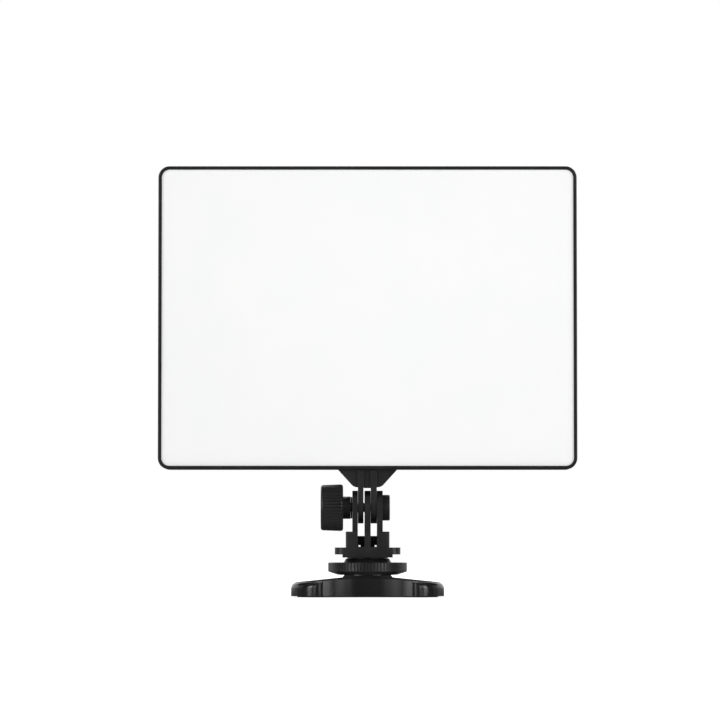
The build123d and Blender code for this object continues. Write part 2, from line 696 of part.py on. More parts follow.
heat_back = reflector_back + STACK_GAP + HEAT_PLATE_T
post_places = [(x, z) for x in (-POST_X, 0, POST_X) for z in (-POST_Z, POST_Z)]
plate_screw_places = [(x, z) for x in (-PLATE_SCREW_X, PLATE_SCREW_X) for z in PLATE_SCREW_Z]
with BuildPart() as heat_plate:
    with BuildSketch(facing_front(heat_back)):
        RectangleRounded(INNER_W - 0.6, INNER_H - 0.6, INNER_CORNER - 0.5)
    extrude(amount=HEAT_PLATE_T)
    with BuildSketch(facing_front(heat_back)):
        with Locations(*post_places):
            Circle(POST_R)
    extrude(amount=heat_back - POST_BACK)
    with BuildSketch(facing_front(heat_back)):
        with Locations(*post_places):
            Circle(TAP_R)
    extrude(amount=heat_back - POST_BACK, mode=Mode.SUBTRACT)
save(heat_plate, "heat_plate")


# ---------------------------------------------------------------- lamp: rear cover

COVER_W = PANEL_W - 0.6
COVER_H = PANEL_H - 0.6
key_places = [(CONTROL_X + side * BUTTON_DX, z - PANEL_Z)
              for z in (KEY_Z_HIGH, KEY_Z_LOW) for side in (-1, 1)]

with BuildPart() as rear_cover:
    with BuildSketch(facing_front(BEZEL_BACK)):
        RectangleRounded(COVER_W, COVER_H, PANEL_CORNER)
    with BuildSketch(facing_front(COVER_BACK)):
        RectangleRounded(COVER_W - 2 * COVER_TAPER, COVER_H - 2 * COVER_TAPER, COVER_CORNER)
    loft()
    with BuildSketch(facing_front(HUMP_BACK)):
        RectangleRounded(HUMP_W, HUMP_H, HUMP_CORNER)
    extrude(amount=HUMP_BACK - COVER_BACK + 0.5)
    chamfer(rear_cover.faces().sort_by(Axis.Y)[-1].edges(), 1.2)
    # hollow under the tray and under the hump
    with BuildSketch(facing_front(BEZEL_BACK)):
        RectangleRounded(COVER_W - 4, COVER_H - 4, PANEL_CORNER - 2)
    with BuildSketch(facing_front(COVER_BACK - COVER_WALL)):
        RectangleRounded(COVER_W - 2 * COVER_TAPER - 2, COVER_H - 2 * COVER_TAPER - 2, COVER_CORNER - 2)
    loft(mode=Mode.SUBTRACT)
    with BuildSketch(facing_front(HUMP_BACK - COVER_WALL)):
        RectangleRounded(HUMP_W - 4, HUMP_H - 4, HUMP_CORNER - 2)
    extrude(amount=HUMP_BACK - BEZEL_BACK, mode=Mode.SUBTRACT)
    # posts that meet the heat plate's, with counterbored screw holes
    with BuildSketch(facing_front(COVER_BACK - 1)):
        with Locations(*post_places):
            Circle(COVER_POST_R)
    extrude(amount=COVER_BACK - 1 - POST_BACK)
    with BuildSketch(facing_front(COVER_BACK)):
        with Locations(*post_places):
            Circle(SCREW_R + 0.15)
    extrude(amount=COVER_BACK, mode=Mode.SUBTRACT)
    with BuildSketch(facing_front(COVER_BACK)):
        with Locations(*post_places):
            Circle(SCREW_HEAD_R + 0.2)
    extrude(amount=SCREW_SINK, mode=Mode.SUBTRACT)
    # bosses for the battery plate's screws
    with BuildSketch(facing_front(HUMP_BACK - COVER_WALL + 0.1)):
        with Locations(*plate_screw_places):
            Circle(PLATE_BOSS_R)
    extrude(amount=HUMP_BACK - COVER_WALL + 0.1 - PLATE_BOSS_BACK)
    with BuildSketch(facing_front(HUMP_BACK)):
        with Locations(*plate_screw_places):
            Circle(PLATE_SCREW_R)
    extrude(amount=HUMP_BACK - PLATE_BOSS_BACK, mode=Mode.SUBTRACT)
    # windows for keys, display, jack and battery catch
    with BuildSketch(facing_front(HUMP_BACK)):
        with Locations(*key_places):
            Circle(BUTTON_R + BUTTON_CLEAR)
        with Locations((CONTROL_X, DISPLAY_Z - PANEL_Z)):
            RectangleRounded(DISPLAY_W - 3, DISPLAY_H - 3, 1)
        with Locations((JACK_X, JACK_Z - PANEL_Z)):
            Circle(JACK_R + 0.1)
        with Locations((0, CATCH_Z - PANEL_Z)):
            Rectangle(CATCH_W + 4.4, CATCH_H + 4.4)
    extrude(amount=COVER_WALL + 1, mode=Mode.SUBTRACT)
    with BuildSketch(facing_front(HUMP_BACK)):
        with Locations((CONTROL_X, DISPLAY_Z - PANEL_Z)):
            RectangleRounded(DISPLAY_W + 0.2, DISPLAY_H + 0.2, 2)
    extrude(amount=0.9, mode=Mode.SUBTRACT)
    # cooling slots above and below the hump, and in the hump's plain side
    with BuildSketch(facing_front(COVER_BACK)):
        with Locations((0, POST_Z), (0, -POST_Z)):
            with Locations((-43, 0), (43, 0)):
                with GridLocations(6, 1, 11, 1):
                    SlotOverall(7, 2, rotation=90)
        with Locations((-50, 18)):
            with GridLocations(1, 5, 1, 7):
                SlotOverall(22, 2)
    extrude(amount=COVER_WALL + 1, mode=Mode.SUBTRACT)
    with BuildSketch(facing_front(HUMP_BACK)):
        with Locations((-50, 18)):
            with GridLocations(1, 5, 1, 7):
                SlotOverall(22, 2)
    extrude(amount=COVER_WALL + 1, mode=Mode.SUBTRACT)
save(rear_cover, "rear_cover")

with BuildPart() as cover_screws:
    with BuildSketch(facing_front(COVER_BACK - 0.3)):
        with Locations(*post_places):
            Circle(SCREW_HEAD_R)
    extrude(amount=SCREW_HEAD_T)
    with BuildSketch(facing_front(COVER_BACK - 1)):
        with Locations(*post_places):
            Circle(SCREW_CORE_R)
    extrude(amount=COVER_BACK - 1)
    with BuildSketch(facing_front(COVER_BACK - 0.3)):
        with Locations(*post_places):
            Rectangle(CROSS_L, CROSS_W)
            Rectangle(CROSS_W, CROSS_L)
    extrude(amount=CROSS_DEPTH, mode=Mode.SUBTRACT)
save(cover_screws, "cover_screws")


# ---------------------------------------------------------------- lamp: electronics

with BuildPart() as driver_board:
    with BuildSketch(facing_front(BOARD_BACK, BOARD_X)):
        RectangleRounded(BOARD_W, BOARD_H, 2)
        with GridLocations(BOARD_W - 8, BOARD_H - 8, 2, 2):
            Circle(1.3, mode=Mode.SUBTRACT)
    extrude(amount=BOARD_T)
save(driver_board, "driver_board")

with BuildPart() as board_parts:
    with BuildSketch(facing_front(BOARD_BACK + 1.4, BOARD_X)):
        with Locations((-18, 24), (12, 24), (-18, -4)):
            Rectangle(9, 9)
        with Locations((10, -6), (26, -6)):
            RectangleRounded(11, 11, 2)
        with GridLocations(7, 5, 5, 3):
            with Locations((0, -24)):
                Rectangle(3, 1.6)
    extrude(amount=1.4)
save(board_parts, "board_parts")

with BuildPart() as board_standoffs:
    with BuildSketch(facing_front(BOARD_BACK - BOARD_T, BOARD_X)):
        with GridLocations(BOARD_W - 8, BOARD_H - 8, 2, 2):
            Circle(STANDOFF_R)
            Circle(TAP_R, mode=Mode.SUBTRACT)
    extrude(amount=BOARD_BACK - BOARD_T - heat_back)
save(board_standoffs, "board_standoffs")

with BuildPart() as control_board:
    with BuildSketch(facing_front(BOARD_BACK, CONTROL_X)):
        RectangleRounded(CONTROL_W, BOARD_H, 2)
    extrude(amount=BOARD_T)
save(control_board, "control_board")

with BuildPart() as tact_switches:
    with BuildSketch(facing_front(BOARD_BACK + 1.2)):
        with Locations(*key_places):
            RectangleRounded(4.5, 4.5, 0.5)
    extrude(amount=1.2)
    with BuildSketch(facing_front(BOARD_BACK + 1.6)):
        with Locations(*key_places):
            Circle(1.2)
    extrude(amount=1.0)
save(tact_switches, "tact_switches")

with BuildPart() as display_module:
    with BuildSketch(facing_front(HUMP_BACK - COVER_WALL - 0.1, CONTROL_X, DISPLAY_Z)):
        RectangleRounded(DISPLAY_W - 1, DISPLAY_H - 1, 1)
    extrude(amount=HUMP_BACK - COVER_WALL - 0.1 - BOARD_BACK)
save(display_module, "display_module")

with BuildPart() as display_window:
    with BuildSketch(facing_front(HUMP_BACK, CONTROL_X, DISPLAY_Z)):
        RectangleRounded(DISPLAY_W, DISPLAY_H, 2)
    extrude(amount=0.9)
save(display_window, "display_window")

with BuildPart() as dc_jack:
    with BuildSketch(facing_front(HUMP_BACK, JACK_X, JACK_Z)):
        Circle(JACK_R)
    extrude(amount=COVER_WALL)
    with BuildSketch(facing_front(HUMP_BACK - COVER_WALL, JACK_X, JACK_Z)):
        Rectangle(10, 10)
    extrude(amount=HUMP_BACK - COVER_WALL - BOARD_BACK)
    with BuildSketch(facing_front(HUMP_BACK, JACK_X, JACK_Z)):
        Circle(JACK_BORE_R)
    extrude(amount=5.2, mode=Mode.SUBTRACT)
save(dc_jack, "dc_jack")

with BuildPart() as dc_pin:
    with BuildSketch(facing_front(HUMP_BACK - 0.8, JACK_X, JACK_Z)):
        Circle(JACK_PIN_R)
    extrude(amount=4.4)
    fillet(dc_pin.edges().sort_by(Axis.Y)[-1], 0.4)
save(dc_pin, "dc_pin")

for name, (x, z) in zip(("plus_button", "minus_button", "mode_button", "power_button"), key_places):
    with BuildPart() as key:
        with BuildSketch(facing_front(HUMP_BACK + BUTTON_PROUD, x, PANEL_Z + z)):
            Circle(BUTTON_R)
        extrude(amount=BUTTON_PROUD + COVER_WALL + 0.9)
        fillet(key.edges().sort_by(Axis.Y)[-1], 0.5)
        with BuildSketch(facing_front(HUMP_BACK - COVER_WALL - 0.1, x, PANEL_Z + z)):
            Circle(BUTTON_FLANGE_R)
        extrude(amount=0.8)
        with BuildSketch(facing_front(HUMP_BACK - COVER_WALL - 0.9, x, PANEL_Z + z)):
            Circle(1.5)
        extrude(amount=HUMP_BACK - COVER_WALL - 0.9 - BOARD_BACK - 1.6 - BUTTON_TRAVEL - 0.2)
    save(key, name)


# ---------------------------------------------------------------- battery plate

with BuildPart() as battery_plate:
    with BuildSketch(facing_front(HUMP_BACK + PLATE_T)):
        RectangleRounded(PLATE_W, PLATE_H, 2)
    extrude(amount=PLATE_T)
    # side rails with inward hooks
    for side in (-1, 1):
        rail_x = side * (PLATE_W - PLATE_SIDE_T) / 2
        with BuildSketch(facing_front(PLATE_BACK)):
            with Locations((rail_x, 0)):
                Rectangle(PLATE_SIDE_T, PLATE_H - 4)
        extrude(amount=PLATE_BACK - HUMP_BACK - 1)
        with BuildSketch(facing_front(PLATE_BACK)):
            for z in (-20, 6, 30):
                with Locations((rail_x - side * HOOK_REACH / 2, z)):
                    Rectangle(PLATE_SIDE_T + HOOK_REACH, HOOK_H)
        extrude(amount=HOOK_T)
    # stop at the lower end, which holds the contacts
    with BuildSketch(facing_front(PLATE_BACK - 0.6)):
        with Locations((0, 4 - PLATE_H / 2)):
            Rectangle(PLATE_W, 4)
        with Locations((0, 8 - PLATE_H / 2)):
            Rectangle(20, 6)
    extrude(amount=PLATE_BACK - HUMP_BACK - 1.6)
    # counterbored holes for its screws
    with BuildSketch(facing_front(HUMP_BACK + PLATE_T)):
        with Locations(*plate_screw_places):
            Circle(PLATE_SCREW_R + 0.15)
    extrude(amount=PLATE_T, mode=Mode.SUBTRACT)
    with BuildSketch(facing_front(HUMP_BACK + PLATE_T)):
        with Locations(*plate_screw_places):
            Circle(PLATE_SCREW_HEAD_R + 0.15)
    extrude(amount=PLATE_SCREW_HEAD_T + 0.2, mode=Mode.SUBTRACT)
    # pocket and window for the catch
    with BuildSketch(facing_front(HUMP_BACK + 1.3, 0, CATCH_Z)):
        Rectangle(CATCH_W + 4.4, CATCH_H + 4.4)
    extrude(amount=2, mode=Mode.SUBTRACT)
    with BuildSketch(facing_front(HUMP_BACK + PLATE_T, 0, CATCH_Z)):
        Rectangle(CATCH_W + 0.5, CATCH_H + 0.5)
    extrude(amount=PLATE_T, mode=Mode.SUBTRACT)
save(battery_plate, "battery_plate")

with BuildPart() as plate_screws:
    with BuildSketch(facing_front(HUMP_BACK + PLATE_T - 0.2)):
        with Locations(*plate_screw_places):
            Circle(PLATE_SCREW_HEAD_R)
    extrude(amount=PLATE_SCREW_HEAD_T)
    with BuildSketch(facing_front(HUMP_BACK)):
        with Locations(*plate_screw_places):
            Circle(PLATE_SCREW_R)
    extrude(amount=HUMP_BACK - PLATE_BOSS_BACK - 0.3)
    with BuildSketch(facing_front(HUMP_BACK + PLATE_T - 0.2 - PLATE_SCREW_HEAD_T)):
        with Locations(*plate_screw_places):
            Circle(PLATE_SCREW_R)
    extrude(amount=PLATE_T)
    with BuildSketch(facing_front(HUMP_BACK + PLATE_T - 0.2)):
        with Locations(*plate_screw_places):
            Rectangle(CROSS_L, CROSS_W)
            Rectangle(CROSS_W, CROSS_L)
    extrude(amount=CROSS_DEPTH, mode=Mode.SUBTRACT)
save(plate_screws, "plate_screws")

with BuildPart() as battery_contacts:
    with BuildSketch(facing_front(PLATE_BACK - 1.4)):
        with Locations((0, 12.5 - PLATE_H / 2)):
            with GridLocations(6, 1, 3, 1):
                Rectangle(1, 3)
    extrude(amount=PLATE_BACK - 1.4 - HUMP_BACK - PLATE_T)
save(battery_contacts, "battery_contacts")

with BuildPart() as battery_catch:
    with BuildSketch(facing_front(HUMP_BACK + PLATE_T + CATCH_PROUD, 0, CATCH_Z)):
        Rectangle(CATCH_W, CATCH_H)
    extrude(amount=PLATE_T + CATCH_PROUD - 0.5)
    chamfer(battery_catch.faces().sort_by(Axis.Y)[-1].edges(), 0.5)
    with BuildSketch(facing_front(HUMP_BACK + 1.2, 0, CATCH_Z)):
        Rectangle(CATCH_W + 3.8, CATCH_H + 3.8)
    extrude(amount=0.8)
save(battery_catch, "battery_catch")


# ---------------------------------------------------------------- yoke bracket

with BuildPart() as yoke_bracket:
    with BuildSketch(Plane.XZ.offset(-YOKE_Y)) as web:
        with BuildLine():
            Polyline((-YOKE_HALF, PANEL_Z0), (YOKE_HALF, PANEL_Z0), (YOKE_LOW_HALF, YOKE_LOW_Z),
                     (-YOKE_LOW_HALF, YOKE_LOW_Z), close=True)
        make_face()
        fillet(web.vertices().group_by(Axis.Y)[0], YOKE_LOW_ROUND)
    extrude(amount=2 * YOKE_Y)
    with BuildSketch(Plane.XY.offset(YOKE_RIB_Z)):
        Rectangle(2 * YOKE_RIB_HALF, 2 * YOKE_Y)
    extrude(amount=2)
    for x0, x1 in TINES:
        with BuildSketch(across(x0)):
            finger_side(TINE_R, TINE_TOP_Z)
        extrude(amount=x1 - x0)
    with BuildSketch(across(TINES[0][0] - 1)):
        with Locations((0, HINGE_Z)):
            Circle(BOLT_HOLE_R)
    extrude(amount=NUT_BOSS_X, mode=Mode.SUBTRACT)
    with BuildSketch(Plane.XY.offset(PANEL_Z0)):
        with Locations((YOKE_SCREW_X, YOKE_SCREW_Y), (-YOKE_SCREW_X, YOKE_SCREW_Y)):
            Circle(TAP_R)
    extrude(amount=-YOKE_TAP_DEPTH, mode=Mode.SUBTRACT)
save(yoke_bracket, "yoke_bracket")

yoke_plate_z = PANEL_Z0 + BEZEL_WALL
with BuildPart() as yoke_plate:
    with BuildSketch(Plane.XY.offset(yoke_plate_z)):
        with Locations((0, YOKE_SCREW_Y)):
            RectangleRounded(2 * YOKE_HALF, 5, 1)
        with Locations((YOKE_SCREW_X, YOKE_SCREW_Y), (-YOKE_SCREW_X, YOKE_SCREW_Y)):
            Circle(SCREW_R + 0.1, mode=Mode.SUBTRACT)
    extrude(amount=YOKE_PLATE_T)
save(yoke_plate, "yoke_plate")

with BuildPart() as yoke_screws:
    with Locations((YOKE_SCREW_X, YOKE_SCREW_Y, yoke_plate_z + YOKE_PLATE_T),
                   (-YOKE_SCREW_X, YOKE_SCREW_Y, yoke_plate_z + YOKE_PLATE_T)):
        Cylinder(SCREW_HEAD_R - 0.3, YOKE_HEAD_T, align=STANDING)
        Cylinder(SCREW_CORE_R, YOKE_SCREW_L, align=HANGING)
save(yoke_screws, "yoke_screws")
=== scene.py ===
"""Looks of an edge-lit LED panel light on its waisted table stand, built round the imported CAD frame.

Metres, +Z up. The lit face looks towards -Y, so the front camera looks along +Y.
Sizes below are in millimetres where they are multiplied by MM.
"""

import math

import bmesh
import bpy
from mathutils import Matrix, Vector


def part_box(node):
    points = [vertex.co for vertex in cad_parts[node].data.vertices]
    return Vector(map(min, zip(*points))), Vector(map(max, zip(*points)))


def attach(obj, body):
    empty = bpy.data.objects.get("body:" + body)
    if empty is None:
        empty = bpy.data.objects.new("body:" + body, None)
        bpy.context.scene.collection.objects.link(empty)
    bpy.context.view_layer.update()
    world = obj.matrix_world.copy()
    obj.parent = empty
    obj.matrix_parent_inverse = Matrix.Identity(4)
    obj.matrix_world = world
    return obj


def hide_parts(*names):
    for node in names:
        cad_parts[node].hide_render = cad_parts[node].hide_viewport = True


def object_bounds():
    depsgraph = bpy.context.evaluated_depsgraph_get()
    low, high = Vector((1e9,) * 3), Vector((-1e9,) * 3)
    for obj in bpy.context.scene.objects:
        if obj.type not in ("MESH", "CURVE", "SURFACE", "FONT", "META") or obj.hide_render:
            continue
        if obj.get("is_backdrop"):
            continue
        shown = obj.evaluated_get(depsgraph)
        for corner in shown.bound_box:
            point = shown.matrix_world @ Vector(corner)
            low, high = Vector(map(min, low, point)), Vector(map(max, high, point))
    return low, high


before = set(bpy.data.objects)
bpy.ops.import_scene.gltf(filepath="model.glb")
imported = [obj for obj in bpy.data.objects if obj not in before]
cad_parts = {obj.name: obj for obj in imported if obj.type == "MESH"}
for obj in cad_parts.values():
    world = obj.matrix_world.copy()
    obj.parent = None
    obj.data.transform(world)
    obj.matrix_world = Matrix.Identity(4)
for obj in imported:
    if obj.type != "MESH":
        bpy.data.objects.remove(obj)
cad_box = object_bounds()
MM = 0.001


# ---------------------------------------------------------------- material tools

WAVE_RINGS_PER_UNIT = 3.2    # rings that a wave texture of scale 1 draws over one unit
RING_DISTORTION = 0.6


class Finish:
    """One procedural material: a Principled shader whose inputs come from solid 3-D textures."""

    def __init__(self, name, **sockets):
        self.material = bpy.data.materials.new(name)
        self.material.use_nodes = True
        self.tree = self.material.node_tree
        self.shader = self.tree.nodes["Principled BSDF"]
        self.place = self.add("ShaderNodeTexCoord").outputs["Object"]
        for socket, value in sockets.items():
            self.shader.inputs[socket.replace("_", " ")].default_value = value

    def add(self, kind, **settings):
        node = self.tree.nodes.new(kind)
        for key, value in settings.items():
            setattr(node, key, value)
        return node

    def link(self, output, target):
        self.tree.links.new(output, target)

    def stretched(self, stretch):
        """The object's own coordinates, scaled per axis."""
        mapping = self.add("ShaderNodeMapping")
        mapping.inputs["Scale"].default_value = stretch
        self.link(self.place, mapping.inputs["Vector"])
        return mapping.outputs["Vector"]

    def noise(self, size_mm, detail=3.0, stretch=(1, 1, 1)):
        """Noise whose features are about size_mm across."""
        node = self.add("ShaderNodeTexNoise")
        node.inputs["Scale"].default_value = 1 / (size_mm * MM)
        node.inputs["Detail"].default_value = detail
        self.link(self.stretched(stretch), node.inputs["Vector"])
        return node.outputs["Fac"]

    def cells(self, size_mm, feature="F1"):
        """Distances in a cell pattern whose cells are about size_mm across."""
        node = self.add("ShaderNodeTexVoronoi", feature=feature)
        node.inputs["Scale"].default_value = 1 / (size_mm * MM)
        self.link(self.place, node.inputs["Vector"])
        return node.outputs["Distance"]

    def rings(self, pitch_mm, axis):
        """Turning marks: rings round an axis through the object's origin."""
        node = self.add("ShaderNodeTexWave", wave_type="RINGS", rings_direction=axis)
        node.inputs["Scale"].default_value = 1 / (pitch_mm * MM) / WAVE_RINGS_PER_UNIT
        node.inputs["Distortion"].default_value = RING_DISTORTION
        self.link(self.place, node.inputs["Vector"])
        return node.outputs["Fac"]

    def spread(self, value, low, high, start=0.3, end=0.7):
        """Maps a texture value from start..end to low..high."""
        node = self.add("ShaderNodeMapRange")
        self.link(value, node.inputs["Value"])
        numbers = {"From Min": start, "From Max": end, "To Min": low, "To Max": high}
        for socket, number in numbers.items():
            node.inputs[socket].default_value = number
        return node.outputs["Result"]

    def times(self, first, second):
        node = self.add("ShaderNodeMath", operation="MULTIPLY")
        self.link(first, node.inputs[0])
        self.link(second, node.inputs[1])
        return node.outputs["Value"]

    def blend(self, value, first, second):
        """Colour between two colours, or between a colour output and a colour."""
        node = self.add("ShaderNodeMix", data_type="RGBA")
        self.link(value, node.inputs["Factor"])
        for socket, colour in ((node.inputs[6], first), (node.inputs[7], second)):
            if isinstance(colour, tuple):
                socket.default_value = (*colour, 1)
            else:
                self.link(colour, socket)
        return node.outputs[2]

    def colour(self, output, socket="Base Color"):
        self.link(output, self.shader.inputs[socket])

    def roughness(self, value, low, high):
        self.link(self.spread(value, low, high), self.shader.inputs["Roughness"])

    def relief(self, height, depth_mm, strength=1.0):
        """Bump whose full height is depth_mm. Calls stack."""
        node = self.add("ShaderNodeBump")
        node.inputs["Strength"].default_value = strength
        node.inputs["Distance"].default_value = depth_mm * MM
        self.link(height, node.inputs["Height"])
        if self.shader.inputs["Normal"].is_linked:
            below = self.shader.inputs["Normal"].links[0].from_socket
            self.link(below, node.inputs["Normal"])
        self.link(node.outputs["Normal"], self.shader.inputs["Normal"])


def scaled(colour, factor):
    return tuple(channel * factor for channel in colour)


FLOW_MM = 14                     # size of the flow mottle in moulded plastic
SMEAR_MM = 7                     # size of the smears that handling leaves
SMEAR_STRETCH = (1, 1, 0.45)


def moulded(name, colour, roughness, grain_mm, grain_depth, mottle=0.18, smear=0.05):
    """Injection-moulded plastic: spark-eroded grain, faint flow mottle and handling smears."""
    finish = Finish(name)
    flow = finish.spread(finish.noise(FLOW_MM, detail=4), 0, 1)
    finish.colour(finish.blend(flow, scaled(colour, 1 - mottle), scaled(colour, 1 + mottle)))
    smears = finish.noise(SMEAR_MM, detail=6, stretch=SMEAR_STRETCH)
    finish.roughness(smears, roughness - smear, roughness + smear)
    finish.relief(finish.noise(grain_mm, detail=2), grain_depth)
    return finish


SCRATCH_MM = 0.5
SCRATCH_STRETCHES = ((0.08, 1, 1), (1, 0.1, 0.6))
SCRATCH_STRENGTH = 0.4


def hairlines(finish, depth_mm):
    """Fine crossed scratches from wiping."""
    for stretch in SCRATCH_STRETCHES:
        lines = finish.noise(SCRATCH_MM, detail=1, stretch=stretch)
        scratches = finish.spread(lines, 0, 1, start=0.6, end=0.75)
        finish.relief(scratches, depth_mm, SCRATCH_STRENGTH)


TARNISH_MM = 3
TARNISH_SHADE = 0.82             # brightness of the tarnish against the clean metal
WEAR_MM = 0.8
WEAR = (-0.06, 0.08)             # how far wear takes the roughness down and up
MARK_STRENGTH = 0.5


def metal(name, colour, roughness, mark_mm, mark_depth, axis="Z"):
    """Turned or stamped metal with a tarnish mottle and turning marks."""
    finish = Finish(name, Metallic=1.0)
    tarnish = finish.spread(finish.noise(TARNISH_MM, detail=6), 0, 1)
    finish.colour(finish.blend(tarnish, scaled(colour, TARNISH_SHADE), colour))
    finish.roughness(finish.noise(WEAR_MM, detail=4), *(roughness + change for change in WEAR))
    finish.relief(finish.rings(mark_mm, axis), mark_depth, MARK_STRENGTH)
    return finish


# ---------------------------------------------------------------- finishes, one per slot

BLACK = (0.0165, 0.0165, 0.017)
ACRYLIC_IOR = 1.49
BOARD_IOR = 1.5


def shell_gloss():
    """Polished moulding: shallow waviness and fine scratches."""
    finish = moulded("gloss_moulding", scaled(BLACK, 0.75), roughness=0.16,
                     grain_mm=3.5, grain_depth=0.002, smear=0.03)
    hairlines(finish, depth_mm=0.002)
    return finish


def mount_nylon():
    """Glass-filled nylon: a satin skin with the glass fibres just showing as short flecks."""
    finish = moulded("glass_filled_nylon", BLACK, roughness=0.33,
                     grain_mm=0.45, grain_depth=0.006, smear=0.06)
    fibres = finish.noise(0.35, detail=2, stretch=(1, 0.25, 1))
    flecks = finish.spread(fibres, 0, 1, start=0.55, end=0.8)
    finish.relief(flecks, depth_mm=0.004, strength=0.6)
    return finish


def bezel_black():
    finish = moulded("satin_bezel", scaled(BLACK, 0.7), roughness=0.34,
                     grain_mm=0.3, grain_depth=0.004)
    hairlines(finish, depth_mm=0.0015)
    return finish


def cover_black():
    """Rear cover: a coarser leather-like spark texture that hides finger marks."""
    finish = moulded("textured_cover", scaled(BLACK, 1.45), roughness=0.52,
                     grain_mm=0.32, grain_depth=0.012)
    finish.relief(finish.cells(0.7, "SMOOTH_F1"), depth_mm=0.012, strength=0.8)
    return finish


def black_matte():
    return moulded("matte_moulding", scaled(BLACK, 0.95), roughness=0.58,
                   grain_mm=0.28, grain_depth=0.01)


def rubber_black():
    """Moulded rubber with a little pale dust on it."""
    finish = moulded("moulded_rubber", (0.018, 0.018, 0.017), roughness=0.82,
                     grain_mm=0.22, grain_depth=0.012, mottle=0.3)
    dust = finish.spread(finish.noise(0.6, detail=3), 0, 1, start=0.62, end=0.8)
    body = finish.shader.inputs["Base Color"].links[0].from_socket
    finish.colour(finish.blend(dust, body, (0.05, 0.048, 0.045)))
    return finish


OPAL_GLOW = 0.28
SHADED_GLOW_LEFT, LEFT_SHADE_REACH = 0.9, 0.5     # glow at the left edge, darkened there as painted shade, and the part of the width it fades over
SHADED_GLOW_TOP, TOP_SHADE_REACH = 0.95, 0.35     # the same painted shade from the top edge down


def opal_diffuser():
    """Opal acrylic, faintly lit, with painted shade darkening its glow towards the left and top edges;
    frosted skin.
    """
    finish = Finish("opal_acrylic", IOR=ACRYLIC_IOR, Emission_Strength=OPAL_GLOW)
    low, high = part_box("diffuser")
    split = finish.add("ShaderNodeSeparateXYZ")
    finish.link(finish.place, split.inputs[0])
    # Painted shade: the glow fades darker towards the left and top edges.
    left_shade = finish.spread(split.outputs["X"], SHADED_GLOW_LEFT, 1.0,
                           start=low.x, end=low.x + LEFT_SHADE_REACH * (high.x - low.x))
    top_shade = finish.spread(split.outputs["Z"], SHADED_GLOW_TOP, 1.0,
                         start=high.z, end=high.z - TOP_SHADE_REACH * (high.z - low.z))
    shaded_glow = finish.times(left_shade, top_shade)
    finish.colour(finish.blend(shaded_glow, (0, 0, 0), (1, 0.995, 0.985)), "Emission Color")
    haze = finish.spread(finish.noise(30, detail=5), 0, 1)
    finish.colour(finish.blend(haze, (0.595, 0.6, 0.605), (0.615, 0.615, 0.615)))
    finish.roughness(finish.noise(2, detail=5), 0.42, 0.5)
    finish.relief(finish.noise(0.18, detail=2), depth_mm=0.004)
    return finish


def clear_acrylic():
    """Light guide: clear sheet with a field of printed extraction dots."""
    finish = Finish("light_guide_acrylic", IOR=ACRYLIC_IOR, Roughness=0.04, Transmission_Weight=0.9)
    dots = finish.spread(finish.cells(1.2), 1, 0, start=0.25, end=0.35)
    finish.colour(finish.blend(dots, (0.97, 0.99, 0.98), (0.9, 0.9, 0.88)))
    finish.relief(dots, depth_mm=0.02, strength=0.5)
    return finish


def white_film():
    finish = Finish("white_film", Sheen_Weight=0.1)
    finish.colour(finish.blend(finish.noise(8), (0.86, 0.87, 0.88), (0.92, 0.92, 0.9)))
    finish.roughness(finish.noise(1.5), 0.3, 0.45)
    finish.relief(finish.noise(0.2), depth_mm=0.003)
    return finish


def led_phosphor():
    """Yellow phosphor windows in white packages, faintly lit."""
    finish = Finish("led_phosphor", Emission_Strength=0.4)
    domes = finish.spread(finish.cells(2.0), 0, 1, start=0.2, end=0.6)
    finish.colour(finish.blend(domes, (0.93, 0.74, 0.16), (0.85, 0.83, 0.72)))
    finish.colour(finish.blend(domes, (1, 0.9, 0.6), (0.2, 0.2, 0.2)), "Emission Color")
    finish.roughness(finish.noise(0.5), 0.25, 0.45)
    return finish


def circuit_board():
    """Green solder mask with copper tracks showing through as lighter, raised lines."""
    finish = Finish("solder_mask", IOR=BOARD_IOR)
    tracks = finish.spread(finish.cells(2.6, "DISTANCE_TO_EDGE"), 1, 0, start=0.04, end=0.09)
    finish.colour(finish.blend(tracks, (0.008, 0.07, 0.03), (0.03, 0.16, 0.06)))
    finish.roughness(finish.noise(1.2), 0.22, 0.34)
    finish.relief(tracks, depth_mm=0.03)
    return finish


def chip_black():
    return moulded("epoxy_package", (0.014, 0.014, 0.015), roughness=0.5,
                   grain_mm=0.12, grain_depth=0.006)


def plate_aluminium():
    """Rolled aluminium sheet with long grain lines."""
    finish = Finish("rolled_aluminium", Metallic=1.0, Anisotropic=0.6)
    grain = finish.noise(0.4, detail=4, stretch=(0.02, 1, 1))
    finish.colour(finish.blend(grain, (0.72, 0.73, 0.74), (0.85, 0.85, 0.86)))
    finish.roughness(grain, 0.26, 0.42)
    finish.relief(grain, depth_mm=0.003)
    return finish


def steel_zinc():
    return metal("zinc_plated_steel", (0.62, 0.62, 0.6), roughness=0.3,
                 mark_mm=0.35, mark_depth=0.004)


def black_screw():
    return metal("black_oxide_steel", (0.06, 0.06, 0.065), roughness=0.38,
                 mark_mm=0.3, mark_depth=0.004, axis="Y")


def brass_turned():
    return metal("turned_brass", (0.78, 0.57, 0.22), roughness=0.27,
                 mark_mm=0.3, mark_depth=0.004)


def display_glass():
    """Smoke-tinted window with a hard coat."""
    finish = Finish("smoked_window", IOR=ACRYLIC_IOR, Transmission_Weight=0.96)
    finish.colour(finish.blend(finish.noise(12), (0.42, 0.43, 0.45), (0.47, 0.48, 0.5)))
    finish.roughness(finish.noise(5, detail=6), 0.02, 0.07)
    finish.relief(finish.noise(2.5), depth_mm=0.001, strength=0.3)
    return finish


def key_grey():
    return moulded("silicone_key", (0.045, 0.046, 0.048), roughness=0.55,
                   grain_mm=0.2, grain_depth=0.006)


def catch_red():
    return moulded("red_catch", (0.42, 0.018, 0.014), roughness=0.42,
                   grain_mm=0.3, grain_depth=0.006, mottle=0.08)


